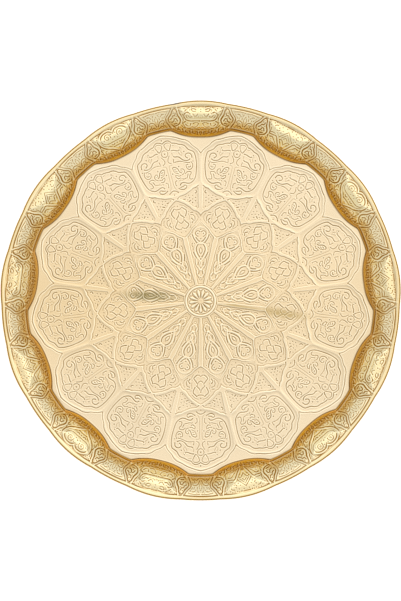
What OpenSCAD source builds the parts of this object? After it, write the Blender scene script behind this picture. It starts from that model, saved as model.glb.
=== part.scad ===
// A round pressed-brass serving tray: a flat floor whose outline is scalloped by lobes, a flared rim
// that rises from it, and an outer edge rolled around a stiffening wire. Floor, rim and rolled edge are
// three stretches of one brass sheet and meet face to face; the wire is a piece of its own.
// The origin is the centre of the floor's underside. +Z is up, and +Y runs through the middle of a lobe.

/* [Tray] */
// Mean outer diameter, over the rolled edge
tray_d = 400; // [320:5:480]
// Overall height, from the underside of the floor to the top of the rolled edge
tray_h = 25; // [18:1:35]
// Thickness of the brass sheet
sheet_t = 0.8; // [0.6:0.1:1.2]

/* [Lobes] */
// Number of lobes around the rim
lobes = 13; // [9:1:17]
// Radius of the floor between two lobes, as a share of the tray's radius
floor_share = 0.87; // [0.82:0.0025:0.88]
// How far each lobe pushes in over the floor
lobe_in = 9.5; // [4:0.5:12]
// How far the rolled edge swells outwards at a lobe
lobe_out = 1.5; // [0:0.1:3]
// Width of a lobe at the floor, as a share of its sector
lobe_share = 0.72; // [0.55:0.01:0.8]
// Width of a lobe at the rolled edge, as a share of its sector
swell_share = 0.58; // [0.4:0.01:0.8]

/* [Rim section] */
// How the rim arches between two lobes: 1 is a parabola, 2 is an ellipse
arch_between = 1.3; // [1:0.05:2]
// How the rim arches at the middle of a lobe
arch_lobe = 1.5; // [1:0.05:2]

/* [Rolled edge] */
// Outer diameter of the rolled edge
roll_d = 3.8; // [3:0.1:5]
// How far the sheet rolls round, in degrees
roll_turn = 260; // [180:5:280]
// Diameter of the wire inside it
wire_d = 2; // [1.2:0.1:2.4]
// Gap where the two ends of the wire meet
wire_gap = 0.5; // [0.2:0.1:2]

/* [Smoothness] */
// Steps in each sector of the rim
sector_steps = 12; // [8:2:16]
// Steps up the rim's section
rise_steps = 8; // [6:1:10]
// Steps around the rolled edge's section
roll_steps = 10; // [8:1:12]
// Sides of the wire
wire_sides = 8; // [6:1:12]

/* [Hidden] */

tray_r = tray_d / 2;
floor_r = tray_r * floor_share;
roll_r = roll_d / 2;
sector = 360 / lobes;
steps = lobes * sector_steps;
step_a = 360 / steps;
lobe_a = 90;           // direction of the first lobe's middle
lobe_power = 2.4;      // a lobe's outline at the floor: higher is fuller
swell_power = 1.9;     // its outline at the rolled edge
blend = 0.04;          // softness of the turn from a lobe into the straight stretch
swell_mean = 0.43;     // mean of the swell over a sector, so that tray_d stays the mean diameter
brass = "goldenrod";
bright_brass = "khaki";

// Angle of one step around the tray
function turn(i) = lobe_a + i * step_a;

// Distance from the middle of the nearest lobe, 0 at its middle and 1 halfway to the next one
function phase(a) =
    let (f = (a - lobe_a) / sector)
    2 * abs(f - round(f));

// The larger of x and 0, with a soft corner
function soft_positive(x) = (x + sqrt(x * x + 4 * blend * blend)) / 2;

// A lobe's outline: 1 at its middle, falling to 0 at its side
function swell(a, share, power) = soft_positive(1 - pow(phase(a) / share, power));

// Where the floor turns up into the rim
function foot_r(a) = floor_r - lobe_in * swell(a, lobe_share, lobe_power);

// Outside of the rolled edge, and the centre of its section
function edge_r(a) = tray_r + lobe_out * (swell(a, swell_share, swell_power) - swell_mean);
function roll_c(a) = edge_r(a) - roll_r;

// Upper surface of the rim, u = 0 at the floor and 1 where the rolled edge begins: [radius, height]
function arch(a) = arch_between + (arch_lobe - arch_between) * swell(a, lobe_share, lobe_power);
function rim_top(a, u) = [
    foot_r(a) + (roll_c(a) - foot_r(a)) * u,
    sheet_t + (tray_h - sheet_t) * pow(1 - pow(1 - u, 2), 1 / arch(a))
];

// Steps of u are closer together at the foot, where the rim is steepest
function rise(j) = pow(j / rise_steps, 1.6);

// The same point on the underside, one sheet thickness away, square to the surface
function rim_under(a, j) =
    let (
        u = rise(j),
        ahead = rim_top(a, min(u + 0.01, 1)),
        behind = rim_top(a, max(u - 0.01, 0)),
        slope = (ahead - behind) / norm(ahead - behind),
        square = j == 0 || j == rise_steps ? [0, -1] : [slope[1], -slope[0]]
    )
    rim_top(a, u) + sheet_t * square;

// Closed section of the rim: up the top, back down the underside
function rim_section(a) = concat(
    [for (j = [0 : rise_steps]) rim_top(a, rise(j))],
    [for (j = [rise_steps : -1 : 0]) rim_under(a, j)]
);

// Closed section of the rolled edge: round the outside, back round the inside
function roll_point(a, r, b) = [roll_c(a) + r * cos(b), tray_h - roll_r + r * sin(b)];
function roll_section(a) = concat(
    [for (j = [0 : roll_steps]) roll_point(a, roll_r, 90 - roll_turn * j / roll_steps)],
    [for (j = [roll_steps : -1 : 0]) roll_point(a, roll_r - sheet_t, 90 - roll_turn * j / roll_steps)]
);

// Round section of the wire
function wire_section(a) = [
    for (j = [0 : wire_sides - 1]) roll_point(a, wire_d / 2, -360 * j / wire_sides)
];

// A section point turned to its place around the tray
function place(p, a) = [p[0] * cos(a), p[0] * sin(a), p[1]];

// Sections joined all the way round into a closed ring
module ring(sections) {
    n = len(sections);
    m = len(sections[0]);
    points = [for (i = [0 : n - 1]) for (p = sections[i]) place(p, turn(i))];
    faces = [
        for (i = [0 : n - 1]) for (j = [0 : m - 1])
            [i * m + j, i * m + (j + 1) % m, ((i + 1) % n) * m + (j + 1) % m, ((i + 1) % n) * m + j]
    ];
    polyhedron(points, faces);
}

// Sections joined from the first angle to the last, with both ends closed
module bar(sections, angles) {
    n = len(sections);
    m = len(sections[0]);
    points = [for (i = [0 : n - 1]) for (p = sections[i]) place(p, angles[i])];
    sides = [
        for (i = [0 : n - 2]) for (j = [0 : m - 1])
            [i * m + j, i * m + (j + 1) % m, (i + 1) * m + (j + 1) % m, (i + 1) * m + j]
    ];
    first = [for (j = [m - 1 : -1 : 0]) j];
    last = [for (j = [0 : m - 1]) (n - 1) * m + j];
    polyhedron(points, concat([first, last], sides));
}

// Flat floor of the tray, with the scalloped outline
module floor_sheet() {
    color(bright_brass)
        linear_extrude(sheet_t)
            polygon([for (i = [0 : steps - 1]) foot_r(turn(i)) * [cos(turn(i)), sin(turn(i))]]);
}

// Flared rim, arching up and outwards from the floor
module rim_wall() {
    color(brass)
        ring([for (i = [0 : steps - 1]) rim_section(turn(i))]);
}

// Outer edge of the sheet, rolled over and under
module rolled_edge() {
    color(bright_brass)
        ring([for (i = [0 : steps - 1]) roll_section(turn(i))]);
}

// Wire inside the rolled edge, its two ends nearly meeting halfway between two lobes
module edge_wire() {
    half_gap = wire_gap / tray_d * 360 / PI;
    start = lobe_a + sector / 2;
    angles = [
        for (i = [0 : steps])
            start + (i == 0 ? half_gap : i == steps ? 360 - half_gap : i * step_a)
    ];
    color("silver")
        bar([for (a = angles) wire_section(a)], angles);
}

floor_sheet();
rim_wall();
rolled_edge();
edge_wire();
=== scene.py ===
"""A round pressed-brass tray: an embossed floor, a flared rim of thirteen lobes and a rolled, wired edge.

The sheet's shape follows the CAD model's own formulas. Its ornament is drawn as strokes and sunken
panels on height maps, one half sector at a time, and the maps then lift the vertices of the sheet.
Lengths in the drawing part are in millimetres, and meshes are made in metres.
"""
import math

import bpy
import numpy as np
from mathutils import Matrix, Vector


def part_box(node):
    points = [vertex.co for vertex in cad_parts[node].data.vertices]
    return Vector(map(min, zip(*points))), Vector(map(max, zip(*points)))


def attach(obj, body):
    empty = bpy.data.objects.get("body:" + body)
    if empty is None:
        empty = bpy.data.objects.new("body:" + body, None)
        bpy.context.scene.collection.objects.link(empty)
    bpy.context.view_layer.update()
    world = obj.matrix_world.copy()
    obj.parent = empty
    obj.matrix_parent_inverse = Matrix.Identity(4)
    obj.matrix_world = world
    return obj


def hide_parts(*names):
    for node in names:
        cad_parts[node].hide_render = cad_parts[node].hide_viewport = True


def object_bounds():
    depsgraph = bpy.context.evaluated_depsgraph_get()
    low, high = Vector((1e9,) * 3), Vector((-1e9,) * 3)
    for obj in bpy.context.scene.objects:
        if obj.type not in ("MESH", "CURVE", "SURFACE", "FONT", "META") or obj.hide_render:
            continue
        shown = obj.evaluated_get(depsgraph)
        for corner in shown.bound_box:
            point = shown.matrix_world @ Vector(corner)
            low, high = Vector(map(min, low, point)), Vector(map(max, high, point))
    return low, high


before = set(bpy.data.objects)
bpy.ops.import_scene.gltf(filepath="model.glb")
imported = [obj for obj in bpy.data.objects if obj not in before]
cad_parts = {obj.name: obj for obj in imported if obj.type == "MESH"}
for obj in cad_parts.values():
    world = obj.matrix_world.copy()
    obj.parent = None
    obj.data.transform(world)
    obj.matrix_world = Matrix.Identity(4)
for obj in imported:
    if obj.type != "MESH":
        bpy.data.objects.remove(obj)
cad_low, cad_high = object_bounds()

# ---- sizes of the sheet, in millimetres
MM = 0.001
LOBES = 13
SECTOR = 2 * math.pi / LOBES
HALF = SECTOR / 2
LOBE_A = math.pi / 2  # direction of the first lobe's middle
TRAY_R = 200.0
TRAY_H = cad_high.z / MM
SHEET_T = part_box("floor_sheet")[1].z / MM
FLOOR_R = 174.0
LOBE_IN, LOBE_SHARE, LOBE_POWER = 9.5, 0.72, 2.4
LOBE_OUT, SWELL_SHARE, SWELL_POWER, SWELL_MEAN = 1.5, 0.58, 1.9, 0.43
BLEND = 0.04
ARCH_BETWEEN, ARCH_LOBE = 1.3, 1.5
ROLL_R = 1.9
SHY = 0.07  # keeps the smooth rolled edge inside the box of the CAD model's flat-sided one
ROLL_TURN = math.radians(260)
WIRE_R = 0.98  # a little under the CAD model's 1.0, so the round wire stays inside its box
WIRE_GAP = 0.5
WIRE_STEPS = 520

STRAP = 0.2  # how far the bands between the floor's panels stand above them
FAINT, PLAIN, HEAVY, DEEP = 0.18, 0.32, 0.45, 0.6  # depths of chased lines
CHISEL = 0.65  # half the width of a very shallow line
BANK_WIDTH = 0.6  # softness of the banks beside a line
GRID = 0.1  # step of the height maps
MARGIN = 4.0  # the height maps reach this far past their middle line
MAP_BLUR = 0.12  # takes the steps of the grid off the finished maps
FINE = 0.46  # spacing of the vertices on the upper side
COARSE = 1.0  # spacing of the vertices on the underside
SEAM = 1.6  # the rim piece starts this far inside the rim's foot
RIM_ARC = 38.0  # about the length of the rim's profile
RIM_FADE = 2.5  # the rim's ornament fades out over this length at both ends
WARP_FROM = 100.0  # outside this radius the floor's rings begin to follow the scalloped outline


# ---- shape of the plain sheet
def phase(angle):
    """Distance from the middle of the nearest lobe: 0 there, 1 halfway to the next lobe."""
    f = (angle - LOBE_A) / SECTOR
    return 2 * np.abs(f - np.round(f))


def swell(angle, share, power):
    """A lobe's outline: 1 at its middle, falling to 0 at its side."""
    x = 1 - (phase(angle) / share) ** power
    return (x + np.sqrt(x * x + 4 * BLEND * BLEND)) / 2


def foot_radius(angle):
    return FLOOR_R - LOBE_IN * swell(angle, LOBE_SHARE, LOBE_POWER)


def roll_centre(angle):
    return TRAY_R + LOBE_OUT * (swell(angle, SWELL_SHARE, SWELL_POWER) - SWELL_MEAN) - ROLL_R - SHY


def rim_top(angle, u):
    """Upper surface of the rim, u = 0 at the floor and 1 where the rolled edge begins: radius, height."""
    arch = ARCH_BETWEEN + (ARCH_LOBE - ARCH_BETWEEN) * swell(angle, LOBE_SHARE, LOBE_POWER)
    radius = foot_radius(angle) + (roll_centre(angle) - foot_radius(angle)) * u
    return radius, SHEET_T + (TRAY_H - SHEET_T) * (1 - (1 - u) ** 2) ** (1 / arch)


# ---- drawing on height maps
def smoothstep(x):
    x = np.clip(x, 0.0, 1.0)
    return x * x * (3 - 2 * x)


def blur(field, axis, sigma, reach, **padding):
    """Gaussian blur along one axis, sigma and reach in cells."""
    kernel = np.exp(-0.5 * (np.arange(-reach, reach + 1) / sigma) ** 2)
    pad = [(0, 0), (0, 0)]
    pad[axis] = (reach, reach)
    padded = np.pad(field, pad, **padding)
    size = field.shape[axis]
    total = sum(k * np.take(padded, range(i, i + size), axis) for i, k in enumerate(kernel))
    return total / kernel.sum()


def soften(field, sigma):
    """Gaussian blur of a height map, sigma in millimetres."""
    sigma /= GRID
    for axis in (0, 1):
        field = blur(field, axis, sigma, max(1, int(3 * sigma)), mode="edge")
    return field


def curve(points, closed=False, steps=7):
    """A smooth curve through given points."""
    p = np.asarray(points, float)
    if len(p) < 3:
        return p
    if closed:
        p = np.vstack([p[-1], p, p[:2]])
    else:
        p = np.vstack([2 * p[0] - p[1], p, 2 * p[-1] - p[-2]])
    t = np.linspace(0, 1, steps, endpoint=False)[:, None]
    out = []
    for a, b, c, d in zip(p, p[1:], p[2:], p[3:]):
        out.append(0.5 * (2 * b + (c - a) * t + (2 * a - 5 * b + 4 * c - d) * t**2
                          + (3 * b - a - 3 * c + d) * t**3))
    if not closed:
        out.append(p[-2:-1])
    return np.vstack(out)


def spiral(x, y, radius, start, turns, end_radius=0.7):
    """A spiral winding in from a start direction in degrees; negative turns run clockwise."""
    n = int(abs(turns) * (12 + 3 * radius)) + 2
    a = math.radians(start) + np.linspace(0, 2 * math.pi * turns, n)
    r = np.linspace(radius, end_radius, n)
    return np.column_stack([x + r * np.cos(a), y + r * np.sin(a)])


def circle(x, y, radius):
    return spiral(x, y, radius, 0, 1, radius)[:-1]


def turned(points, angle):
    """Points turned clockwise about the tray's centre."""
    c, s = math.cos(angle), math.sin(angle)
    p = np.asarray(points, float)
    return np.column_stack([c * p[:, 0] + s * p[:, 1], c * p[:, 1] - s * p[:, 0]])


class Relief:
    """Height map of half of a motif, which is mirrored about its middle line x = 0."""

    def __init__(self, width, low, high, level=0.0):
        self.x = np.arange(-MARGIN, width, GRID)
        self.y = np.arange(low, high, GRID)
        self.height = np.full((len(self.y), len(self.x)), level)
        self.cuts = np.zeros(self.height.shape)
        # Painted shade for the metal's colour: above 0 paints it darker, below 0 lighter.
        self.shade = np.zeros(self.height.shape)

    def window(self, p, margin):
        """Rows and columns of the map around some points."""
        rows = np.searchsorted(self.y, [p[:, 1].min() - margin, p[:, 1].max() + margin])
        columns = np.searchsorted(self.x, [p[:, 0].min() - margin, p[:, 0].max() + margin])
        return slice(*rows), slice(*columns)

    def nearness(self, points, reach, closed=False, angle=0.0):
        """1 on a stroke and on its mirror image, falling to 0 at the given distance from them."""
        best = np.ones(self.height.shape)
        for side in (1, -1):
            p = turned(np.asarray(points, float) * [side, 1], angle)
            ends = np.vstack([p, p[:1]]) if closed else p
            for a, b in zip(ends, ends[1:]):
                win = self.window(np.array([a, b]), reach)
                gx, gy = self.x[win[1]][None, :] - a[0], self.y[win[0]][:, None] - a[1]
                d = b - a
                t = np.clip((gx * d[0] + gy * d[1]) / max(d @ d, 1e-9), 0, 1)
                distance = np.hypot(gx - t * d[0], gy - t * d[1]) / reach
                best[win] = np.minimum(best[win], distance)
        return 1 - best

    def cut(self, strokes, depth=PLAIN, closed=False, angle=0.0):
        """Chased grooves along smooth strokes; a deeper one is a little wider."""
        for points in strokes:
            near = self.nearness(curve(points, closed), CHISEL + depth, closed, angle)
            self.cuts = np.maximum(self.cuts, depth * smoothstep(near))

    def pits(self, places, depth=HEAVY, angle=0.0):
        """Round punch marks: x, y and radius of each."""
        for x, y, radius in places:
            near = self.nearness([(x, y), (x, y + 0.01)], radius + 0.3, angle=angle)
            self.cuts = np.maximum(self.cuts, depth * smoothstep(1.3 * near))

    def ridge(self, points, half_width=0.9, height=0.3, closed=False, angle=0.0):
        """A raised line on whatever lies below it, painted lighter along its length: a painted highlight.
        """
        near = smoothstep(self.nearness(curve(points, closed), half_width, closed, angle))
        self.height += height * near
        self.shade -= height * near

    def inside(self, outline, bevel, angle=0.0):
        """1 well inside a closed outline, falling to 0 at its edge over the bevel."""
        p = turned(outline, angle)
        win = self.window(p, 0.5)
        gx, gy = np.meshgrid(self.x[win[1]], self.y[win[0]])
        within = np.zeros(gx.shape, bool)
        for a, b in zip(p, np.roll(p, -1, axis=0)):
            if a[1] != b[1]:
                crossing = (b[0] - a[0]) * (gy - a[1]) / (b[1] - a[1]) + a[0]
                within ^= ((a[1] > gy) != (b[1] > gy)) & (gx < crossing)
        share = np.zeros(self.height.shape)
        share[win] = within
        return share * smoothstep(1 - self.nearness(outline, bevel, True, angle))

    def panel(self, outline, depth=STRAP, bevel=0.8, angle=0.0, edge=PLAIN):
        """A sunken panel with a chased outline, or with a negative depth a raised and cushioned one."""
        self.height -= depth * self.inside(outline, bevel, angle)
        if edge:
            near = self.nearness(outline, CHISEL + edge, True, angle)
            self.cuts = np.maximum(self.cuts, edge * smoothstep(near))

    def finish(self, bank=0.95):
        """Press the grooves in; the metal pushed aside stands up as a soft bank on both sides."""
        self.height += bank * soften(self.cuts, BANK_WIDTH) - self.cuts
        return self

    def sample(self, field, x, y):
        """A map's value at points, between its cells."""
        fx = np.clip((x - self.x[0]) / GRID, 0, len(self.x) - 1.001)
        fy = np.clip((y - self.y[0]) / GRID, 0, len(self.y) - 1.001)
        j, i = fx.astype(int), fy.astype(int)
        fx, fy = fx - j, fy - i
        low = field[i, j] * (1 - fx) + field[i, j + 1] * fx
        high = field[i + 1, j] * (1 - fx) + field[i + 1, j + 1] * fx
        return low * (1 - fy) + high * fy


def mirrored(half):
    """A closed outline from its right half, given from the bottom to the top."""
    half = np.asarray(half, float)
    return np.vstack([half, half[::-1] * [-1, 1]])


# ---- ornament of the floor
# x = 0 is a sector's middle line, which runs out through a medallion; y is the distance from the centre.
# The long inner panels lie on the line between two sectors, HALF a sector to the side.
MEDALLION = [
    (0, 108.9), (5.5, 109.7), (10, 110.6), (15.5, 112.1), (20, 114.3), (25, 115.2), (27.2, 117),
    (28.4, 120), (29.4, 125), (30.6, 131), (32.2, 138), (33, 143.6), (32.4, 147), (30.6, 150),
    (27.4, 153.6), (24, 157.2), (19, 160.8), (14, 163.6), (9.6, 165.8), (5, 167.4), (0, 168)]
HEXAGON = [
    (0, 66.2), (2, 67), (4.6, 68.8), (7, 70.8), (9, 73), (11.6, 74.4), (14.6, 76), (17.6, 77.8),
    (20, 79.4), (20.8, 81.6), (20.3, 84.2), (19.2, 86.6), (17.4, 88.6), (15, 89.8), (13.5, 91.5), (12, 94),
    (9.8, 96.2), (7.8, 98.4), (5, 100.4), (1.8, 102.6), (0, 103.4)]
LONG_PANEL = [
    (0, 17.4), (2.4, 17.2), (3.2, 20), (4.4, 27), (5.8, 34), (7.5, 41), (9.7, 50.4), (11.2, 58.4),
    (12.4, 62), (12.8, 64.4), (11.4, 66.2), (10, 67.6), (9, 69.6), (7.6, 72.2), (5, 74.6), (2.6, 77.4),
    (0, 80.4)]
TRIANGLE = [
    (3.4, 106.2), (7.6, 102.6), (12.4, 98.4), (16.4, 93.6), (19, 91.4), (20.4, 92), (22, 100),
    (24.2, 109.6), (24.6, 112.8), (22, 112), (19.6, 111.6), (17.4, 110), (14, 108.8), (10.5, 107.6),
    (6.6, 107)]


def draw_rosette(art):
    """The disc in the middle: a boss and thirteen petals inside a raised ring."""
    art.ridge(circle(0, 0, 14.6), 1.6, 0.12, closed=True)
    art.cut([circle(0, 0, 13.1), circle(0, 0, 16.0)], closed=True)
    art.cut([circle(0, 0, 2.6)], FAINT, closed=True)
    for k in range(LOBES):
        art.cut([[(0, 3.2), (0, 10.4)]], HEAVY, angle=HALF + k * SECTOR)
        art.cut([[(1.7, 9.8), (1.2, 11.4), (0, 12)]], angle=k * SECTOR)
        art.ridge([(0, 5.4), (0, 10.2)], 1.1, 0.24, angle=k * SECTOR)


def draw_long_panel(art):
    """Two strands that cross again and again: round a small heart, a large eye and two lenses."""
    for strand in (
            [(0, 58), (3.4, 57.2), (5.5, 53.8), (5.7, 50), (4.4, 46), (2.3, 42.8), (0, 40.2)],
            [(0, 40.2), (1.1, 38.4), (0.8, 36.4), (0, 35)],
            [(4.7, 41.4), (4.5, 38), (3.5, 35), (1.4, 33), (0, 31.4)],
            [(0, 31.4), (2.6, 31), (3.3, 29.4), (2.8, 27), (1.2, 25.2), (0, 23.8)],
            [(0.6, 58), (3.6, 60.4), (5.9, 63.6), (7, 67.2), (6.4, 70.6), (4, 73.2), (0, 74.6)]):
        art.ridge(strand, 0.9, 0.13, angle=HALF)
    art.cut([
        [(2.8, 56.6), (4.1, 54), (4.3, 51.4), (3.5, 48.8), (2.5, 46.4), (1.2, 44.4)],
        [(8.4, 66.4), (7, 62.8), (5.2, 60), (4.2, 58.6)], [(4.6, 63.8), (2.8, 61.2), (1.2, 60)],
        [(7.2, 48.8), (5.6, 45.6), (4.4, 43.4)]], HEAVY, angle=HALF)
    art.cut([
        [(0.8, 69.6), (2.8, 70.6), (4.6, 69.6), (5.3, 67.8), (4.2, 66), (2.8, 64.8)],
        [(0, 53.8), (1.3, 51.6), (1.2, 49.2), (0, 47.4)], [(1.8, 36.2), (2.4, 38.6), (3.2, 36.2)],
        [(5.6, 42.4), (5.5, 38.8), (4.6, 35.6), (2.8, 33.2)], [(2.2, 31.8), (1.6, 29.2), (2.4, 27)],
        [(4.3, 30.6), (4.4, 28.2), (3.4, 25.8), (2.4, 23.2)],
        [(8.4, 58), (8.8, 56.2), (8, 54.4)]], angle=HALF)
    art.cut([
        [(11.2, 62.6), (9.6, 57), (7.8, 49.6)], [(7, 44), (6.6, 41)],
        [(8.5, 68.4), (8, 71.2), (5.6, 74.4), (2.6, 76)], [(0, 21), (1.4, 22), (0, 23.6)],
        [(7.2, 53.6), (7.4, 51.4)]], FAINT, angle=HALF)
    art.pits([
        (0, 62.6, 0.6), (2.9, 68, 0.6), (0, 42.3, 0.8), (0, 72, 0.5), (2.5, 39, 0.5), (6.2, 57.8, 0.4),
        (0, 23.4, 0.5), (9.9, 64.4, 0.4), (0, 33.4, 0.4)], angle=HALF)


def draw_hexagon(art):
    """Two loops knotted together, with a scroll on each side."""
    art.cut([
        [(4, 95.8), (5.6, 94.2), (7.3, 92.6), (7.5, 90.6), (6.6, 88.4), (5.7, 86.8)],
        [(0, 91.6), (1, 88.8), (2.6, 86.9), (4, 85.4)],
        [(3.2, 83.2), (5, 80.6), (6.8, 77.8), (5.2, 75.6), (3.4, 74.4)],
        [(10.9, 82.8), (12.2, 80.6), (10.6, 78.4)]], HEAVY)
    art.cut([
        [(0, 94.4), (2, 94.6), (4, 95.8)], [(4, 85.4), (3.2, 84.4), (3.2, 83.2)],
        [(0, 80.2), (1.8, 81.4), (3.2, 83.2)], [(3.4, 74.4), (1.6, 74.6), (0, 75.8)],
        [(11, 86.6), (13.4, 85.6), (14.4, 82.8), (13.4, 79.6)], [(11.4, 88.4), (13.4, 88.4)]])
    art.cut([
        [(16.4, 86.6), (17.4, 83.6), (16.6, 80.4), (13, 77.4)], [(8.8, 88), (9.4, 85.4), (9, 82.4)],
        [(2.6, 98.6), (6, 97.2), (8.6, 94.4)], [(8.6, 79.6), (9, 77.2), (7.4, 74)]], FAINT)
    art.pits([
        (0, 97.8, 0.6), (0, 75.9, 0.6), (0, 80.2, 0.5), (9.6, 90.4, 0.4), (2.2, 71.2, 0.5),
        (17.8, 82.4, 0.4)], PLAIN)


def draw_triangle(art):
    """A six-petalled flower between punch marks, under a strong upper edge."""
    art.cut([
        [(2, 105), (4.3, 106.6), (7, 107.1), (10.5, 107.6), (14, 108.9), (17.3, 110.2), (19.8, 111.6),
         (22.5, 112), (25.2, 113.2)], [(12.6, 99.8), (14.2, 100.4)],
        [(22, 108.6), (22.2, 107.4), (20.8, 106.6)], [(7.4, 103.2), (9.2, 102.9)]], HEAVY)
    art.pits([
        (8.3, 103, 0.6), (14, 103.3, 0.55), (19.7, 102.2, 0.55), (15.8, 98, 0.65), (19, 99, 0.65),
        (18.3, 93.5, 0.6)])
    art.pits([
        (17.5, 104.8, 0.5), (13.6, 105.8, 0.5), (16.6, 101.4, 0.5), (10.4, 105.4, 0.4), (20.6, 96.2, 0.4),
        (11.6, 101.6, 0.4)], PLAIN)


def draw_medallion(art):
    """A tree inside a lobed border: a double stem, arms that end in spirals, and leaves."""
    # Outer line of the border, which meets the next medallion's in a point, and its inner line.
    art.cut([[(0, 170.3), (4, 169.5), (9, 167.8), (14, 165.8), (19, 162.9), (22, 161.6)]], HEAVY)
    art.cut([
        [(22, 161.6), (24, 160.6), (27, 157.7), (29, 154), (31.5, 151.1), (33.5, 148.6), (35.5, 144.4)]])
    art.cut([
        [(0, 162.2), (2, 163.3), (4.4, 164.1), (6.6, 163.7), (8.4, 162.2), (9.4, 160.9),
         (11.6, 160.3), (14, 159.3), (16.5, 157.9), (19, 157), (21, 155.8), (22.6, 153.7),
         (24, 151.2), (26.3, 149.3), (28.6, 147.5), (29.5, 144.8), (29.5, 140), (28.8, 135),
         (27.5, 130), (26, 125.4), (24.6, 122.2), (23, 120.2), (20.8, 118.5), (18.4, 117.6),
         (16, 117.8), (13.4, 118.9), (11, 119.6), (9.2, 119.2), (8.2, 118)]], HEAVY)
    # Head of the tree.
    art.cut([
        [(7.2, 153.5), (9.8, 153.2), (12.4, 152.2), (14.6, 151.8), (15.2, 152.4)],
        [(2.6, 156), (3.9, 154.5), (5.3, 154.3), (6.4, 156)]], HEAVY)
    art.cut([
        [(2.6, 156), (1.4, 159.2), (1.8, 161), (4.2, 162.1), (6.8, 161.6), (8, 159.6), (6.4, 156)],
        [(0, 155.2), (2.4, 154.2), (3.3, 151.9), (2.2, 149.2), (0, 148.2)],
        [(3.8, 148.8), (2.2, 146), (1.6, 143.8), (2.2, 142.2), (4, 140.9)]])
    art.cut([
        [(9.6, 158.3), (12.6, 158.5)], [(7.3, 151), (7.2, 149), (8.2, 147.2)],
        [(17.4, 153), (16.2, 150.6), (17.2, 148.6), (15.8, 146.2)], [(13.8, 150), (15.4, 147)]], FAINT)
    # Arms, ending in spirals.
    art.cut([
        [(8.2, 147.2), (9.4, 146.5), (11.6, 146.2), (13.4, 145.4), (14.8, 143.8), (16.6, 141.8),
         (19, 140.5), (21.4, 140.3), (23.4, 141)],
        [(26, 142.4), (25.9, 144.8), (24.6, 146.6), (22.4, 147.3), (20.4, 146.5), (19.7, 145),
         (20.4, 143.6), (21.3, 142.8)]], HEAVY)
    art.cut([
        [(7.3, 144.4), (7, 141.4), (9.4, 141.4), (12.4, 141.3), (15, 140.6), (17.6, 139.4), (20.2, 138.2),
         (22.6, 137.6)],
        [(24.2, 138), (24.9, 135.8), (24.4, 133.2), (22.8, 131.4), (20.8, 130.9), (19, 132), (18.3, 134),
         (18.6, 136), (20.2, 136.6)], [(20.2, 133.6), (21.6, 133.3), (22.6, 133.9)]])
    # Double stem and its foot.
    art.cut([
        [(4.4, 139.4), (2, 138.6), (1.3, 136), (1.3, 124), (1.6, 118.4), (2.2, 115.8),
         (3.6, 113.6)]], FAINT)
    art.cut([[(0, 113.6), (2.2, 113), (4.4, 111.3)]], HEAVY)
    # Leaves beside the stem.
    art.cut([
        [(4.3, 135.6), (5.3, 136.6), (7.4, 136), (9, 134.5), (9.8, 132.5), (10.6, 130.6), (12, 129.6)],
        [(6, 114.8), (7.4, 113.8), (9.2, 113), (11.2, 112.9), (13.2, 113.8)],
        [(6.8, 125.2), (8, 124.3), (9.6, 124.8)]], HEAVY)
    art.cut([
        [(4.3, 135.6), (5, 132.6), (6.4, 130.6), (8.8, 129.4)],
        [(12, 131), (12.3, 132.8), (13.6, 133.3), (15, 132), (15.3, 130), (14.2, 128.3), (12.6, 127.6)],
        [(6, 128.4), (7.4, 127.8), (8.8, 126.8), (10.8, 127)], [(6, 128.4), (5.7, 126.6), (6.8, 125.2)],
        [(15.6, 127.8), (17.4, 129), (19.6, 129.2), (21.4, 128.2), (21.2, 126.6), (19.8, 125.3),
         (19, 123.4), (19, 121.8), (20.4, 121), (21.8, 121.1)], [(18, 126.5), (17.4, 125), (16.4, 123.4)],
        [(8.6, 122.2), (9.8, 123.5), (11.6, 123.6), (13, 122.8), (11.4, 122.2), (10, 122.4)],
        [(5.4, 122.9), (3.8, 121.6), (3.7, 118.6)],
        [(13.2, 113.8), (13.8, 115.4), (12.6, 116.8), (10.6, 115.9), (7.6, 115.4)],
        [(6, 134), (7.6, 133.8)], [(6.4, 132), (8.2, 131.6)], [(13.4, 122.8), (15.4, 123.2)]])
    art.pits([
        (0, 165.5, 0.7), (0, 151.7, 0.75), (16.5, 154.2, 0.6), (19.5, 149.8, 0.65), (21.3, 142.7, 0.6),
        (4, 140.8, 0.5), (7, 141.2, 0.4), (10.8, 136.3, 0.7), (3.1, 130.4, 0.65), (4, 118.2, 0.6),
        (8.1, 118, 0.6), (20, 136.2, 0.5), (0, 109.4, 0.6), (17.2, 125, 0.6)])
    art.pits([(26, 138.3, 0.6), (11, 122.9, 0.7), (13.2, 131, 0.4), (5.3, 122.8, 0.4)], PLAIN)


def floor_relief():
    art = Relief(46, -2, 178, STRAP)
    for outline, angle in ((MEDALLION, 0), (HEXAGON, 0), (LONG_PANEL, HALF)):
        art.panel(mirrored(outline), angle=angle, edge=FAINT if outline is MEDALLION else HEAVY)
    art.panel(TRIANGLE)
    draw_rosette(art)
    draw_long_panel(art)
    draw_hexagon(art)
    draw_triangle(art)
    draw_medallion(art)
    # Nothing is chased outside the medallions, and the ground there is painted a little lighter: painted
    # light.
    border = curve([(0, 170.3), (14, 165.8), (24, 160.6), (31.5, 151.1), (35.5, 144.4),
                    (44, 150), (44, 177), (0, 177)], closed=True)
    art.shade -= 0.15 * art.inside(border, 1.5)
    return art.finish()


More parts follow.
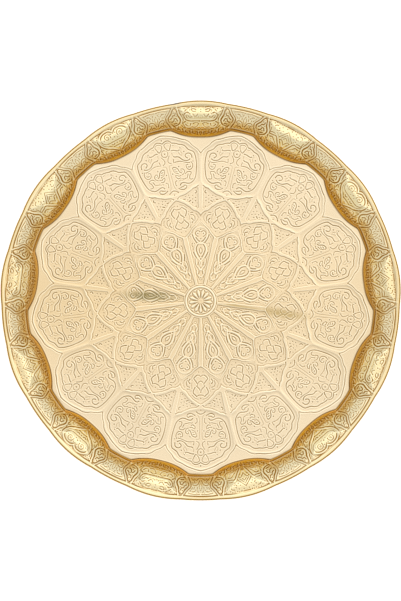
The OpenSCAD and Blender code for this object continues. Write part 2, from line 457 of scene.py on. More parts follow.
# ---- ornament of the rim
# x = 0 is the middle line of a lobe. Straight panels lie HALF a sector to the side of it.
RIM_PUFF, RIM_SLOPE = 2.2, 10.0  # height of a lobe's cushion, and the width of its slope
RIM_DIP, RIM_LOW = 0.7, 0.18  # how far the ornament lies below the plain lip, and the least of it
RIM_DEEPER = 1.3  # the rim is chased this many times as deep as the floor
BUD_BAND = [
    (24.6, 194.4), (23.2, 190.6), (22, 187), (20.5, 184.8), (19.1, 182), (18.8, 179.6), (19.8, 177.2)]
BUD_OUTER = [
    (26.2, 191.9), (24.6, 190.4), (23.8, 188), (23.2, 185.8), (21.8, 183.6), (20.8, 182), (20.4, 180),
    (20.8, 178), (22.4, 176.2)]
BUD_INNER = [
    (22.4, 176.2), (25.8, 175), (29, 175.4), (31.2, 177.2), (32.4, 179.6), (32.4, 182), (31.4, 184.2),
    (29.8, 186.6), (29.2, 188.8), (28.2, 191), (26.2, 191.9)]
PANEL_BAND = [
    (18.6, 194.4), (17, 192.5), (15, 190), (13, 187.5), (11.2, 185.5), (10.6, 183.5), (11.4, 181),
    (12.9, 178.4), (14.4, 175.6)]
PANEL_LINE = [
    (16.2, 193), (14.6, 190.4), (12.4, 188), (10.6, 186.3), (9.7, 184.2), (9.6, 182), (10.3, 180),
    (11.3, 178), (12, 176.2)]


def draw_bud(art):
    """A pebbled bud between a lobe and a straight panel, with a bright band on each side."""
    bud = np.vstack([curve(BUD_OUTER)[:-1], curve(BUD_INNER)[:-1]])
    art.panel(bud, -0.35, 2.2, edge=0)
    # The bud's inside is painted darker: painted shade.
    art.shade += 0.55 * art.inside(bud, 1.0)
    art.ridge(BUD_BAND, 1.0, 0.4)
    art.ridge(PANEL_BAND, 1.0, 0.4, angle=HALF)
    art.cut([BUD_OUTER], DEEP)
    art.cut([BUD_INNER], HEAVY)
    art.cut([PANEL_LINE], DEEP, angle=HALF)
    art.cut([
        [(23.2, 180.2), (24.6, 182.2), (26.4, 181.8), (27, 179.8), (28.8, 178.6)],
        [(25.4, 187.8), (26, 185.6), (28, 184.9), (28.8, 182.8), (30.4, 181.4)],
        [(23.8, 177.6), (26, 177)]], HEAVY)
    art.pits([
        (27.6, 187.8, 0.5), (24.6, 184.6, 0.5), (29.6, 176.8, 0.4), (26.2, 190, 0.4), (27.2, 183, 0.4)])


def draw_straight_panel(art):
    """The straight panel between two lobes: an oval between two arches, under a row of strokes."""
    field = mirrored([(0, 194.4), (15.8, 193.2)] + PANEL_BAND[2:7] + [(11.6, 180.4), (0, 180.4)])
    # The panel's upper field is painted lighter: painted light.
    art.shade -= 0.35 * art.inside(field, 2.5, HALF)
    art.cut([
        [(0, 195.1), (5, 195), (10, 194.7), (14, 194.3), (16.8, 193.6)],
        [(0, 175.2), (5, 175.2), (10, 175), (12.6, 174.6)]], DEEP, angle=HALF)
    art.cut([
        [(0.8, 179.4), (2, 181.6), (3.5, 183.1), (5.5, 183.8), (7.4, 183.1), (8.2, 181.2)],
        [(6, 189.6), (7.2, 190.2), (8.4, 190)]], HEAVY, angle=HALF)
    art.cut([
        [(0, 188.6), (1.2, 186.6), (1.3, 183.4), (0, 181)], [(1, 192.6), (5, 193), (8, 192.6), (12, 191.6)],
        [(6.6, 187), (6.2, 185.6)], [(3.4, 187.4), (3.2, 185.6)], [(2.6, 178), (4.4, 178.8), (6, 177.9)],
        [(6.8, 181.6), (6, 179.8), (7.6, 178.2)], [(9, 187.6), (8, 186)], [(2.2, 190.8), (3, 189.2)],
        [(10.6, 189.8), (10.2, 188.4)]], angle=HALF)
    art.pits([(0, 188.5, 0.7), (5, 188.4, 0.6), (4, 191.4, 0.5), (7.1, 190, 0.5)], angle=HALF)
    art.pits([
        (12, 190.4, 0.4), (1.6, 177.4, 0.4), (8.6, 176.9, 0.4), (4.8, 181.2, 0.5),
        (9.2, 192.2, 0.4)], PLAIN, angle=HALF)


def draw_lobe_edges(art):
    """What every lobe has: lines beside the lip, corner leaves and a fringe of leaf tips at the foot."""
    art.cut([[(-3, 196.1), (5, 196.1), (10, 195.7), (15, 195.1), (19, 194.3), (22.4, 193)]], HEAVY)
    art.pits([(19.5, 189.5, 0.7), (20.7, 192.4, 0.7), (16.6, 192.2, 0.5)])
    art.cut([[(18, 186.6), (17.4, 184), (17.6, 181)], [(18.6, 179), (17.6, 176.6), (18, 174.8)]])
    # Leaf tips, dark in the hollows between their bright veins.
    leaves = (((0, 166.6), (0.8, 169.2), (0, 170.4)), ((3.4, 167), (3.2, 169.4), (4.4, 170.4)),
              ((6.2, 168), (8.4, 169), (8, 171)), ((10.2, 168.6), (10.8, 170.6)),
              ((13.2, 168.8), (15.2, 170), (14.8, 172)), ((17.4, 170), (18, 172.2)),
              ((20.2, 171.4), (22.6, 172.4), (22.2, 174.4)), ((24.6, 173), (26.6, 174.8)))
    for k, leaf in enumerate(leaves):
        art.cut([leaf])
        art.pits([(*leaf[1], 1.0 if k % 3 else 1.4)])
        art.ridge([(leaf[-1][0] + 1.6, leaf[-1][1] - 1.4), (leaf[-1][0] + 2.2, leaf[-1][1] + 1)], 0.7, 0.12)
    art.cut([[(0, 173), (3, 172), (6.4, 173.2), (9.6, 172.4), (12.6, 174), (16, 173.6), (19, 175.4)]])


def draw_cartouche(art):
    """A round-ended band with scrolls over a second, narrower one."""
    art.ridge([(0, 182.8), (7, 182.8), (13, 182.5), (15.2, 184), (15.6, 186.2), (13.8, 187.9)], 0.9, 0.35)
    art.ridge([(7.2, 184), (9.8, 187.4), (12.4, 191.2), (9.4, 193.2), (4, 192.8)], 0.8, 0.25)
    art.cut([
        [(0.8, 180.9), (6, 180.9), (13, 180.9), (15.6, 182.4), (16.9, 185.2), (16.2, 187.6), (14, 188.9),
         (12.4, 188.4)], [(8.4, 185.1), (10.8, 184.6), (12.5, 185.8)],
        [(9.8, 178.4), (10.6, 176.6), (12.8, 176.1), (15, 177.2)]], HEAVY)
    art.cut([
        [(3.2, 187.2), (4.4, 185.7), (6.2, 185.6), (7.8, 187.2)], [(10, 188), (11.4, 187.6)],
        [(5, 190), (7.4, 189.6), (9.4, 191.4), (7.6, 192.4), (5, 191.4)],
        [(2, 178.6), (3.8, 176.2), (6, 175), (8.6, 175.6)], [(2, 178.6), (4.6, 179.8), (7.4, 178.6)],
        [(15, 180), (17, 178.2), (16.6, 175.6), (14.4, 173.6), (10.4, 173.6)],
        [(14.6, 191.4), (16.2, 189.8)], [(1.6, 172.6), (4.6, 173.4), (7.6, 173)]])
    art.pits([
        (0, 189.4, 0.6), (0, 191.6, 0.5), (0, 173.4, 0.6), (13.5, 188.8, 0.5), (2, 184.9, 0.4),
        (4.6, 193.8, 0.5), (9.6, 193.6, 0.4), (13.4, 178.4, 0.4)])


def draw_chevron(art):
    """Nested lozenges on a chevron, whose arms spread into shoulders."""
    art.ridge([(1.6, 172.6), (4, 176.4), (6.5, 179.6), (8.5, 182.4), (10.6, 183.7)], 1.0, 0.4)
    art.cut([
        [(2.8, 172.6), (5.4, 176), (7.4, 179), (9, 181.2), (10.8, 182.1), (13.4, 181.3), (17.4, 180.8)],
        [(5, 180.6), (3.8, 181.1), (2.6, 180.6), (0.8, 178.6), (0, 177.6)]], HEAVY)
    art.cut([
        [(0, 190), (1.6, 188.4), (3.2, 186.8), (5, 184.8), (6.9, 182.8)],
        [(0, 187.4), (3, 184), (4.6, 182.4)], [(0, 184.4), (2, 182.6)],
        [(12.6, 191.6), (14.4, 191.1), (15.4, 189.4), (14.2, 187.6)],
        [(11.8, 183.6), (14, 183.7), (16.4, 183), (17.6, 181.6)],
        [(8, 176), (10.2, 177.6), (13, 179.4), (15.4, 178.6)], [(8.6, 173.8), (10.4, 174.6), (13.4, 175.6)],
        [(0, 174.8), (1, 173.6)], [(9.2, 188.2), (10.4, 187), (12, 187.2)]])
    art.pits([
        (7.3, 186.2, 0.6), (10.3, 189.8, 0.8), (10.3, 185.2, 0.6), (1.2, 186, 0.3), (5.4, 194, 0.7),
        (9.6, 193.6, 0.6), (14.6, 193.6, 0.5), (5.3, 172.4, 0.5), (10.3, 174.6, 0.5), (13.6, 177.2, 0.4),
        (5.6, 188.6, 0.5), (2.6, 192.2, 0.5), (7.6, 191.6, 0.5)])


def draw_heart(art):
    """A heart round two spirals and a small flower."""
    art.ridge([(0, 191.6), (3.4, 194), (9, 194), (13.4, 192), (16.3, 188.4), (16, 185), (14, 181.6),
               (10.6, 179.6), (7, 177.8), (3, 175), (0, 172.6)], 0.9, 0.4)
    art.cut([
        [(17.6, 190.6), (17.9, 186.6), (16.8, 182.6), (14.4, 180), (11.6, 178), (6.4, 175.8),
         (2.2, 172.2)]], HEAVY)
    art.cut([
        [(0, 189.6), (3.6, 192.4), (8.6, 192.6), (12.2, 191), (14, 188.4), (13.4, 185), (10.6, 183),
         (7, 182.3), (3.4, 182.4)], spiral(7.2, 188, 3.6, 200, -1.35), [(0, 182.3), (3.4, 182.4)],
        [(0, 178), (4.6, 177.9)], [(2.6, 180.4), (4, 179.6), (5.6, 180.4)],
        [(9.4, 175.4), (12, 176.8), (14.6, 176.4), (15, 174.6)], [(5.6, 173), (8.4, 173.6), (11, 173.4)]])
    art.pits([
        (0, 180.3, 0.6), (2.4, 189.4, 0.6), (4.4, 191.4, 0.3), (7, 188, 0.6), (11.3, 186.6, 0.6),
        (0, 186, 0.7), (2.6, 184.6, 0.5), (0, 175.6, 0.5), (12.6, 175, 0.4), (0, 193.6, 0.6)])


def rim_relief(draw_middle):
    """The rim's ornament for one kind of lobe, with the cushioned shape of the lobe under it."""
    art = Relief(50, 152, 204)
    draw_bud(art)
    draw_straight_panel(art)
    draw_lobe_edges(art)
    draw_middle(art)
    foot = [(x, 167.2 + 5.0 * (x / 28) ** 2) for x in (0, 10, 18)]
    cushion = art.inside(mirrored(foot + BUD_BAND[::-1] + [(0, 195.6)]), RIM_SLOPE)
    # All of it lies below the plain lip beside the rolled edge.
    radius = np.hypot(art.x[None, :], art.y[:, None])
    dip = smoothstep((radius - 174) / 6) * smoothstep((196.2 - radius) / 1.2)
    art.height += RIM_PUFF * cushion - np.maximum(RIM_DIP * dip, RIM_LOW)
    art.cuts *= RIM_DEEPER
    return art.finish()


# Kinds of lobe, band, V or heart, clockwise from the one at +Y.
KINDS = {"B": draw_cartouche, "V": draw_chevron, "H": draw_heart}
LOBE_KINDS = [KINDS[letter] for letter in "BVHVBHVBHVBVH"]


# ---- meshes
def add_object(name, data):
    obj = bpy.data.objects.new(name, data)
    bpy.context.scene.collection.objects.link(obj)
    return obj


def angles(count):
    return LOBE_A + np.arange(count) * 2 * math.pi / count


def ring(count, radius, height):
    """A closed ring of points; radius and height are numbers or one value for each point."""
    a = angles(count)
    return np.column_stack([radius * np.cos(a), radius * np.sin(a), np.broadcast_to(height, a.shape)])


def strip(count_a, count_b):
    """Triangles between two rings of any two counts, as vertex numbers in each ring."""
    i, j = np.arange(count_a), np.arange(count_b)
    b_at = ((2 * i + 1) * count_b + count_a - 1) // (2 * count_a)
    a_at = ((2 * j + 1) * count_a + count_b) // (2 * count_b)
    first = np.column_stack([i, count_a + b_at % count_b, (i + 1) % count_a])
    second = np.column_stack([a_at % count_a, count_a + j, count_a + (j + 1) % count_b])
    return np.vstack([first, second])


def build(name, rings, corners, relief_lights, rises, closed=True):
    """A mesh from rings of points in order; corners are the numbers of the sharp rings."""
    counts = [len(r) for r in rings]
    starts = np.concatenate([[0], np.cumsum(counts)])
    faces = []
    pairs = list(zip(range(len(rings)), list(range(1, len(rings))) + [0]))
    for a, b in pairs if closed else pairs[:-1]:
        tri = strip(counts[a], counts[b])
        faces.append(np.where(tri < counts[a], tri + starts[a], tri - counts[a] + starts[b]))
    faces = np.vstack(faces)
    points = np.vstack(rings) * MM
    mesh = bpy.data.meshes.new(name)
    if not closed:  # both ends are single points: fans
        first, last = starts[0] + np.arange(counts[0]), starts[-2] + np.arange(counts[-1])
        fan_a = np.column_stack([np.full(counts[0], len(points)), first, np.roll(first, -1)])
        fan_b = np.column_stack([np.full(counts[-1], len(points) + 1), np.roll(last, -1), last])
        faces = np.vstack([faces, fan_a, fan_b])
        points = np.vstack([points, rings[0].mean(0) * MM, rings[-1].mean(0) * MM])
        relief_lights, rises = np.append(relief_lights, [0, 0]), np.append(rises, [0, 0])
    mesh.from_pydata(points, [], faces)
    mesh.shade_smooth()
    which = np.full(len(points), -1)
    which[: starts[-1]] = np.repeat(np.arange(len(rings)), counts)
    ends = np.empty(len(mesh.edges) * 2, np.int32)
    mesh.edges.foreach_get("vertices", ends)
    ends = which[ends.reshape(-1, 2)]
    sharp = (ends[:, 0] == ends[:, 1]) & np.isin(ends[:, 0], corners)
    mesh.edges.foreach_set("use_edge_sharp", sharp)
    for label, values in (("relief_light", relief_lights), ("rise", rises)):
        mesh.attributes.new(label, "FLOAT", "POINT").data.foreach_set("value", values.astype(np.float32))
    return add_object(name, mesh)


def even_count(radius, spacing):
    """Points on a ring of that radius: a multiple of twice the number of lobes."""
    return max(1, round(2 * math.pi * radius / spacing / (2 * LOBES))) * 2 * LOBES


def seam_radius(angle):
    """Where the floor piece ends and the rim piece begins."""
    return foot_radius(angle) - SEAM


def floor_rings(spacing):
    """Radii of the floor's rings and the angles on them, from the middle to the seam."""
    mean = FLOOR_R - SEAM
    count = round(mean / spacing)
    rows = []
    for k in range(1, count + 1):
        base = mean * k / count
        n = even_count(base, spacing)
        if k == count:
            n = even_count(mean, FINE)
        a = angles(n)
        pull = smoothstep((base - WARP_FROM) / (mean - WARP_FROM))
        rows.append((n, base + pull * (seam_radius(a) - mean)))
    return rows


def floor_sample(art, field, count, radius):
    """A field of the floor's ornament at a ring's points."""
    a = angles(count) - LOBE_A - HALF
    f = np.abs(a / SECTOR - np.round(a / SECTOR)) * SECTOR
    return art.sample(field, radius * np.sin(f), radius * np.cos(f))


DENTS = ((-50, 4, 17, 6, 0.16), (58, -12, 26, 6, 0.12))  # place x and y, width, length and depth
WARP_LIFT = 0.24  # keeps the dented floor above the level that the tray stands on
WARP_END, WARP_FADE = 120, 40  # the unevenness fades out beyond this radius, over this distance


def sheet_warp(x, y):
    """Slow unevenness of the pressed floor, and two shallow dents beside its middle."""
    wave = 0.05 * np.sin(x / 31 + 0.6) * np.cos(y / 37 - 0.4) + 0.03 * np.sin(y / 19 + x / 43)
    for dx, dy, wide, tall, deep in DENTS:
        wave = wave - deep * np.exp(-((x - dx) / wide) ** 2 - ((y - dy) / tall) ** 2)
    fade = 1 - smoothstep((np.hypot(x, y) - WARP_END) / WARP_FADE)
    return (wave + WARP_LIFT) * fade


CREST_WIDTH = 0.8  # blur that the local relief is measured against
CREST_FULL = 0.13  # height above or below the blurred surface that counts as 1


def relief_light_of(art):
    """Local relief less the painted shade map, from -1 in the creases to 1 on the crests: it sets the
    painted shade in the creases and the painted highlights on the crests.
    """
    local = art.height - soften(art.height, CREST_WIDTH)
    return np.clip(local / CREST_FULL - art.shade, -1, 1)


def make_floor(art, field, relief_light):
    """The floor: rings of the upper side out to the seam, then rings of the underside back in."""
    rings, relief_lights = [], []
    for side, spacing in ((1, FINE), (-1, COARSE)):
        rows = floor_rings(spacing)
        if side < 0:
            rows = rows[::-1]
        for n, r in rows:
            a = angles(n)
            lift = floor_sample(art, field, n, r) + sheet_warp(r * np.cos(a), r * np.sin(a))
            # Underneath, the deepest grooves only press the sheet down to the level it stands on.
            rings.append(ring(n, r, lift + SHEET_T if side > 0 else np.maximum(lift, 0)))
            relief_lights.append(floor_sample(art, relief_light, n, r) * (side > 0))
        if side > 0:
            edge = len(rings) - 1
    relief_lights = np.concatenate(relief_lights)
    return build("tray_floor", rings, [edge, edge + 1], relief_lights, 0 * relief_lights, closed=False)


PROFILE_STEPS = 360
BEND, BEND_REACH = 5.0, 12  # rounding of the foot's bend, in steps of the profile


def rim_profiles(count, rows):
    """The plain rim from the seam to the rolled edge, rounded at the foot: radius, then height."""
    a = angles(count)[None, :]
    flat = np.linspace(0, 1, 30, endpoint=False)[:, None]
    u = np.linspace(0, 1, 260)[:, None] ** 1.8  # closer together at the foot, where it is steepest
    r, z = rim_top(a, u)
    z = z + STRAP * (TRAY_H - z) / (TRAY_H - SHEET_T)
    r = np.vstack([seam_radius(a) + SEAM * flat, r])
    z = np.vstack([SHEET_T + STRAP + 0 * flat * a, z])
    # Even spacing along the profile, then a rounding of the bend.
    length = np.vstack([0 * a, np.cumsum(np.hypot(np.diff(r, axis=0), np.diff(z, axis=0)), axis=0)])
    at = np.linspace(0, 1, PROFILE_STEPS)
    pick = np.linspace(0, PROFILE_STEPS - 1, rows)
    low = np.minimum(pick.astype(int), PROFILE_STEPS - 2)
    part = (pick - low)[:, None]
    for grid in (r, z):
        even = [np.interp(at * length[-1, k], length[:, k], grid[:, k]) for k in range(count)]
        rounded = blur(np.array(even).T, 0, BEND, BEND_REACH, mode="reflect", reflect_type="odd")
        yield rounded[low] * (1 - part) + rounded[low + 1] * part


def surface_normals(points):
    """Normals of a grid of points: rows outwards, columns round the tray."""
    along = np.gradient(points, axis=0)
    around = np.roll(points, -1, axis=1) - np.roll(points, 1, axis=1)
    n = np.cross(along, around)
    return n / np.linalg.norm(n, axis=2, keepdims=True)


def rim_sample(arts, fields, count, radius):
    """A field of the rim's ornament on a grid of points, rows x count."""
    a = LOBE_A - angles(count)
    which = np.round(a / SECTOR).astype(int) % LOBES
    off = np.abs(a / SECTOR - np.round(a / SECTOR)) * SECTOR
    x, y = radius * np.sin(off), radius * np.cos(off)
    out = np.zeros(radius.shape)
    for kind, art in arts.items():
        mine = np.isin(which, [k for k, name in enumerate(LOBE_KINDS) if name is kind])
        out[:, mine] = art.sample(fields[kind], x[:, mine], y[:, mine])
    return out


PALER = 0.8  # how much further down the wall the pale part of the painted wall shading reaches between the lobes, where it is steeper
# Painted shade in the corner of wall and floor: its place, width and strength, and their change between
# lobes.
FOOT_SHADE_AT, FOOT_SHADE_WIDTH, FOOT_SHADE, FOOT_SHADE_CHANGE = 0.2, 0.8, 0.55, 0.3


def make_rim(arts, fields, relief_lights_of):
    """The rim: rows of the upper side out to the rolled edge, then rows of the underside back in."""
    rings, relief_lights, rises = [], [], []
    for side, spacing in ((1, FINE), (-1, COARSE)):
        count = even_count(FLOOR_R - SEAM, spacing)
        rows = round(RIM_ARC / spacing)
        r, z = rim_profiles(count, rows)
        a = angles(count)
        base = np.stack([r * np.cos(a), r * np.sin(a), z], axis=2)
        normal = surface_normals(base)
        normal[[0, -1]] = (0, 0, 1)
        from_end = np.minimum(np.arange(rows), np.arange(rows)[::-1]) * spacing
        fade = smoothstep(from_end / RIM_FADE)[:, None]
        lift = rim_sample(arts, fields, count, r) * fade + (0 if side > 0 else -SHEET_T)
        relief_light = rim_sample(arts, relief_lights_of, count, r) * fade * (side > 0)
        rise = np.clip((r - foot_radius(a)) / (roll_centre(a) - foot_radius(a)), 0, 1)
        between = 1 - np.clip(swell(a, LOBE_SHARE, LOBE_POWER), 0, 1)
        rise = 1 - (1 - rise) ** (1 + PALER * between)
        if side > 0:
            # The corner of wall and floor is painted darker: painted shade.
            change = FOOT_SHADE_CHANGE * between
            corner = np.abs(r - foot_radius(a) - FOOT_SHADE_AT + change) / (FOOT_SHADE_WIDTH + change)
            relief_light = relief_light - (FOOT_SHADE + change) * smoothstep(1.2 - corner)
        grid = base + normal * lift[:, :, None]
        for rows_of, field in ((rings, grid), (relief_lights, relief_light), (rises, rise * (side > 0))):
            rows_of.extend(field if side > 0 else field[::-1])
        if side > 0:
            top = rows
    corners = [0, top - 1, top, len(rings) - 1]
    return build("tray_rim", rings, corners, np.concatenate(relief_lights), np.concatenate(rises))


def make_roll():
    """The rolled edge: the sheet turned over the wire and back under."""
    count = even_count(FLOOR_R - SEAM, FINE)
    centre = roll_centre(angles(count))
    steps = 22
    rings = []
    for radius, order in ((ROLL_R, range(steps + 1)), (ROLL_R - SHEET_T, range(steps, -1, -1))):
        for k in order:
            b = math.pi / 2 - ROLL_TURN * k / steps
            rings.append(ring(count, centre + radius * math.cos(b), TRAY_H - ROLL_R + radius * math.sin(b)))
    corners = [0, steps, steps + 1, 2 * steps + 1]
    plain = np.zeros(count * len(rings))
    return build("rolled_edge_shell", rings, corners, plain, plain + 1)


def wire_route():
    """Points along the wire, whose two ends nearly meet halfway between two lobes."""
    gap = WIRE_GAP / 2 / TRAY_R
    a = LOBE_A + HALF + np.linspace(gap, 2 * math.pi - gap, WIRE_STEPS + 1)
    r = roll_centre(a)
    return np.column_stack([r * np.cos(a), r * np.sin(a), np.full(a.shape, TRAY_H - ROLL_R)])


def make_wire():
    """A round steel wire along the route."""
    line = bpy.data.curves.new("stiffening_wire", "CURVE")
    line.dimensions = "3D"
    line.bevel_depth = WIRE_R * MM
    line.bevel_resolution = 3
    line.use_fill_caps = True
    route = wire_route() * MM
    spline = line.splines.new("POLY")
    spline.points.add(len(route) - 1)
    spline.points.foreach_set("co", np.column_stack([route, np.ones(len(route))]).ravel())
    spline.use_smooth = True
    return add_object("stiffening_wire", line)


# ---- materials
class Nodes:
    """Short ways to add and join shader nodes."""

    def __init__(self, owner):
        owner.use_nodes = True
        self.tree = owner.node_tree
        self.tree.nodes.clear()

    def add(self, kind, inputs=(), **settings):
        node = self.tree.nodes.new("ShaderNode" + kind)
        for name, value in settings.items():
            setattr(node, name, value)
        for name, value in dict(inputs).items():
            if isinstance(value, bpy.types.NodeSocket):
                self.tree.links.new(value, node.inputs[name])
            else:
                node.inputs[name].default_value = value
        return node

    def math(self, operation, a, b=0.5):
        return self.add("Math", {0: a, 1: b}, operation=operation).outputs[0]

    def split(self, vector):
        """A vector's X, Y and Z."""
        return self.add("SeparateXYZ", {0: vector}).outputs

    def remap(self, value, low, high, to_low=0.0, to_high=1.0):
        node = self.add("MapRange", {"Value": value, "From Min": low, "From Max": high,
                                               "To Min": to_low, "To Max": to_high})
        node.interpolation_type = "SMOOTHSTEP"
        return node.outputs["Result"]

    def mix(self, factor, a, b, blend="MIX"):
        node = self.add("Mix", {"Factor": factor}, data_type="RGBA", blend_type=blend)
        for socket, value in ((node.inputs[6], a), (node.inputs[7], b)):
            if isinstance(value, bpy.types.NodeSocket):
                self.tree.links.new(value, socket)
            else:
                socket.default_value = (*value, 1.0)
        return node.outputs[2]

    def plus(self, a, b):
        return self.math("ADD", a, b)

    def times(self, a, b):
        return self.math("MULTIPLY", a, b)

    def ramp(self, value, stops):
        """A colour for each value, from pairs of a position and a colour."""
        node = self.add("ValToRGB", {"Fac": value})
        elements = node.color_ramp.elements
        elements[0].position, elements[1].position = stops[0][0], stops[-1][0]
        for position, _ in stops[1:-1]:
            elements.new(position)
        for element, (_, tint) in zip(elements, stops):
            element.color = (*tint, 1)
        return node.outputs[0]

    def noise(self, where, scale, detail=3.0, roughness=0.5):
        return self.add("TexNoise", {"Vector": where, "Scale": scale, "Detail": detail,
                                               "Roughness": roughness}).outputs["Fac"]

    def bump(self, height, strength, distance, below=None):
        """A bumped normal, on top of another one if that is given."""
        inputs = {"Height": height, "Strength": strength, "Distance": distance}
        if below is not None:
            inputs["Normal"] = below
        return self.add("Bump", inputs).outputs[0]

    def surface(self, **inputs):
        """The shader and the output; an underscore in a name stands for a space."""
        inputs = {name.replace("_", " "): value for name, value in inputs.items()}
        shader = self.add("BsdfPrincipled", inputs)
        self.add("OutputMaterial", {"Surface": shader.outputs[0]})


PALE_BRASS = (0.845, 0.69, 0.465)
# These colours paint light: a warm shade, painted highlights, the edge's painted shade, and painted shade
# with tarnish in the hollows.
WARM_SHADE_BRASS = (0.74, 0.52, 0.23)
HIGHLIGHT_BRASS = (1.0, 0.93, 0.74)
WALL_HIGHLIGHT = (1.0, 0.89, 0.60)
EDGE_SHADE_BRASS = (0.42, 0.23, 0.02)
TARNISH_AND_SHADE = (0.30, 0.20, 0.075)
WALL_TARNISH_AND_SHADE = (0.36, 0.155, 0.004)
# The wall's colour, from the floor at 0 to the rolled edge at 1, with painted shade and painted reflection:
# deep, darker gold low on the wall.
WALL_COLOURS_AND_SHADE = ((0.0, PALE_BRASS), (0.012, (0.62, 0.34, 0.02)), (0.03, (0.94, 0.54, 0.02)),
                (0.08, (0.82, 0.43, 0.01)), (0.12, (0.58, 0.265, 0.0)), (0.2, (0.79, 0.43, 0.02)),
                (0.31, (0.90, 0.585, 0.14)), (0.42, (0.99, 0.76, 0.33)), (0.6, (1.0, 0.86, 0.49)),
                (0.9, (0.95, 0.78, 0.46)))

# Dark marks on the upper side: a patch on a long panel left of the middle, fainter streaks to its right, a
# speck on the wall and a grey mark on the edge. Each has x, y, lean, length, width, amount and colour.
PATCHES = ((-0.051, 0.0052, -0.05, 0.036, 0.0070, 0.85, (0.31, 0.24, 0.10)),
           (0.083, -0.0125, -0.13, 0.030, 0.0065, 0.65, (0.48, 0.34, 0.13)),
           (0.040, -0.0055, -0.15, 0.030, 0.0024, 0.6, (0.48, 0.34, 0.13)),
           (-0.091, 0.167, 0.0, 0.0014, 0.0011, 1.0, (0.05, 0.04, 0.02)),
           (-0.0265, 0.1975, 0.13, 0.0085, 0.0013, 1.0, (0.16, 0.13, 0.10)))


def new_material(name):
    """A material, its nodes and the place on the object."""
    material = bpy.data.materials.new(name)
    n = Nodes(material)
    return material, n, n.add("TexCoord").outputs["Object"]


def brass(name):
    """Lacquered brass with painted light: pale on the flat floor, painted deeper and darker low on the wall
    and on steep slopes, painted shade with tarnish in the creases and painted highlights on the crests.
    """
    material, n, where = new_material(name)
    part = n.split(where)
    # The relief's painted light: painted shade in the creases, painted highlights on the crests.
    relief_light = n.add("Attribute", attribute_name="relief_light").outputs["Fac"]
    rise = n.add("Attribute", attribute_name="rise").outputs["Fac"]
    normal = n.add("NewGeometry").outputs["Normal"]
    facing = n.split(normal)["Z"]
    broad = n.noise(where, 9.0, 3.0)
    mottle = n.noise(where, 70.0, 4.0)

    # The wall's colours by height carry painted shade and painted reflection.
    colour = n.mix(n.remap(broad, 0.35, 0.7, 0, 0.06), n.ramp(rise, WALL_COLOURS_AND_SHADE), (0, 0, 0))
    # A band across the middle is painted warmer and darker, more so towards the left: painted shade.
    along = n.remap(n.math("ABSOLUTE", part["Y"]), 0.13, 0, 0, 0.32)
    middle_shade = n.times(along, n.remap(part["X"], -0.15, 0.15, 1.5, 0.8))
    colour = n.mix(middle_shade, colour, WARM_SHADE_BRASS)
    # Steep faces on the floor and at the wall's foot are painted a warmer, darker brass: painted shade on
    # the slopes.
    steep_shade = n.remap(n.math("ABSOLUTE", facing), 0.98, 0.6, 0, 0.8)
    colour = n.mix(n.times(steep_shade, n.remap(rise, 0.04, 0)), colour, WARM_SHADE_BRASS)
    # The rolled edge is painted darker where it turns down: painted shade.
    edge = n.times(n.remap(facing, 0.998, 0.93), n.remap(rise, 0.98, 1))
    colour = n.mix(edge, colour, EDGE_SHADE_BRASS)
    # Painted shade with tarnish in the hollows, and painted highlights on the crests.
    grime_and_shade = n.times(n.remap(relief_light, -0.05, -0.8), n.remap(mottle, 0.3, 0.75, 0.65, 0.95))
    on_wall = n.remap(rise, -0.01, 0.015)
    grime_and_shade = n.math("MINIMUM", n.times(grime_and_shade, n.remap(on_wall, 0, 1, 1, 1.2)), 1)
    colour = n.mix(grime_and_shade, colour, n.mix(on_wall, TARNISH_AND_SHADE, WALL_TARNISH_AND_SHADE))
    # The crests are painted lighter: painted highlights.
    colour = n.mix(n.remap(relief_light, 0.1, 0.75, 0, 0.7), colour, n.mix(on_wall, HIGHLIGHT_BRASS, WALL_HIGHLIGHT))

    upper = n.remap(part["Z"], 0.0006, 0.0007)
    for x, y, lean, long, wide, amount, tint in PATCHES:
        place = n.add("Mapping", {"Vector": where, "Location": (x, y, 0),
                                            "Rotation": (0, 0, lean), "Scale": (long, wide, 1)},
                      vector_type="TEXTURE")
        length = n.add("VectorMath", {0: place.outputs[0]}, operation="LENGTH").outputs["Value"]
        patch = n.remap(n.plus(length, n.times(mottle, 0.6)), 1.4, 0.45, 0, amount)
        # It is stronger in the hollows and fainter on the crests.
        patch = n.times(n.times(patch, n.remap(relief_light, 0.7, -0.3, 0.5, 1.3)), upper)
        colour = n.mix(patch, colour, tint)

    rough = n.plus(n.remap(mottle, 0.3, 0.75, 0.16, 0.22), n.times(grime_and_shade, 0.2))
    stretched = n.add("Mapping", {"Vector": where, "Scale": (0.15, 1.0, 1.0)}).outputs[0]
    scratches = n.noise(stretched, 900.0, 4.0, 0.65)
    grain = n.noise(where, 420.0, 3.0, 0.6)
    bumped = n.bump(grain, 0.25, 0.00012, n.bump(scratches, 0.12, 0.00008))
    n.surface(Base_Color=colour, Metallic=1.0, Roughness=rough, Normal=bumped)
    return material


def steel_wire():
    """Drawn steel wire with a dull grey skin and a few rust specks."""
    material, n, where = new_material("steel_wire")
    specks = n.remap(n.noise(where, 320.0, 5.0, 0.6), 0.58, 0.72, 0, 0.7)
    colour = n.mix(n.noise(where, 60.0), (0.42, 0.42, 0.41), (0.55, 0.54, 0.52))
    colour = n.mix(specks, colour, (0.24, 0.13, 0.07))
    rough = n.plus(n.times(specks, 0.4), 0.34)
    bumped = n.bump(n.noise(where, 900.0), 0.2, 0.00008)
    n.surface(Base_Color=colour, Metallic=1.0, Roughness=rough, Normal=bumped)
    return material


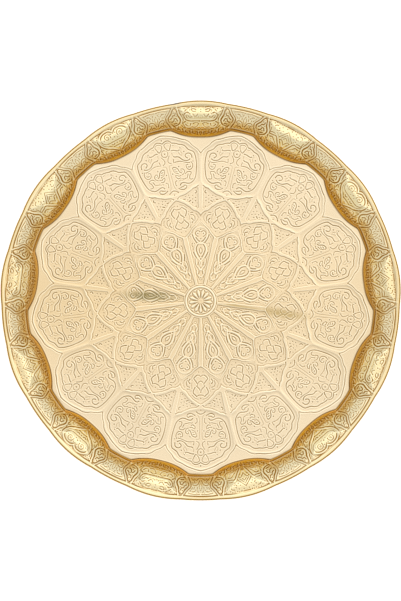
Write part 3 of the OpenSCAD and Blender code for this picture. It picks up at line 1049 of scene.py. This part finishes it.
# ---- studio
def make_stage():
    mesh = bpy.data.meshes.new("studio_floor")
    mesh.from_pydata([(-6, -6, 0), (6, -6, 0), (6, 6, 0), (-6, 6, 0)], [], [(0, 1, 2, 3)])
    obj = add_object("studio_floor", mesh)
    obj.location.z = -0.0003
    material, n, where = new_material("pale_backdrop")
    colour = n.mix(n.noise(where, 3.0), (0.90, 0.90, 0.90), (0.88, 0.88, 0.88))
    n.surface(Base_Color=colour, Roughness=0.9, Specular_IOR_Level=0.0,
              Emission_Color=(1, 1, 1, 1), Emission_Strength=0.55)
    mesh.materials.append(material)


SKY_TOP = 1.2  # a ramp's colours stop at 1, so the levels are shares of this
# Level of the light for each height in the sky, from the horizon at 0 to overhead at 1.
SKY = ((0.0, 0.86), (0.2, 0.86), (0.5, 0.78), (0.8, 0.93), (0.95, 1.15), (1.0, 1.13))


def make_world():
    """Soft light from all round, a little brighter overhead and on the right."""
    world = bpy.data.worlds.new("soft_studio")
    bpy.context.scene.world = world
    n = Nodes(world)
    way = n.add("TexCoord").outputs["Generated"]
    up = n.split(way)
    sky = n.ramp(up["Z"], [(height, (level / SKY_TOP,) * 3) for height, level in SKY])
    # High up, the light is stronger from the back and the right.
    lean = n.plus(n.times(up["X"], 0.45), n.times(up["Y"], 0.8))
    lean = n.remap(lean, -0.5, 0.5, -1, 1)
    lean = n.times(lean, n.remap(up["Z"], 0.65, 0.9, 0, 0.38))
    light = n.times(n.times(sky, SKY_TOP), n.plus(lean, 1.0))
    dome = n.add("Background", {"Color": (1, 1, 1, 1), "Strength": light})
    backdrop = n.add("Background", {"Color": (1, 1, 1, 1), "Strength": 1.0})
    seen = n.add("LightPath").outputs["Is Camera Ray"]
    both = n.add("MixShader", {0: seen, 1: dome.outputs[0], 2: backdrop.outputs[0]})
    n.add("OutputWorld", {"Surface": both.outputs[0]})


CAMERA_HEIGHT = 6.0
PICTURE_HEIGHT = 601
METRES_PER_PIXEL = 0.0009995  # at the height of the rim
CAMERA_X, CAMERA_Y = -0.00012, 0.0007


def make_camera():
    camera = bpy.data.cameras.new("camera")
    camera.sensor_width = 36.0
    tray_top = TRAY_H * MM
    camera.lens = 36.0 * (CAMERA_HEIGHT - tray_top) / (PICTURE_HEIGHT * METRES_PER_PIXEL)
    camera.clip_start, camera.clip_end = 0.05, 50.0
    obj = add_object("camera", camera)
    obj.location = (CAMERA_X, CAMERA_Y, CAMERA_HEIGHT)
    bpy.context.scene.camera = obj


# ---- the tray
def main():
    floor_art = floor_relief()
    floor = make_floor(floor_art, soften(floor_art.height, MAP_BLUR), relief_light_of(floor_art))
    rim_arts = {kind: rim_relief(kind) for kind in KINDS.values()}
    rim = make_rim(rim_arts, {k: soften(art.height, MAP_BLUR) for k, art in rim_arts.items()},
                   {k: relief_light_of(art) for k, art in rim_arts.items()})
    shell = make_roll()
    wire = make_wire()

    for piece, node, finish, material in (
            (floor, "floor_sheet", "brass_sheet", brass("brass_floor")),
            (rim, "rim_wall", "brass_sheet", brass("brass_rim")),
            (shell, "rolled_edge", "brass_sheet", brass("brass_edge")),
            (wire, "edge_wire", "steel_wire", steel_wire())):
        piece.data.materials.append(material)
        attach(piece, "root")
        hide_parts(node)

    make_stage()
    make_world()
    make_camera()
    view = bpy.context.scene.view_settings
    view.view_transform = "Standard"
    view.look = "None"


main()
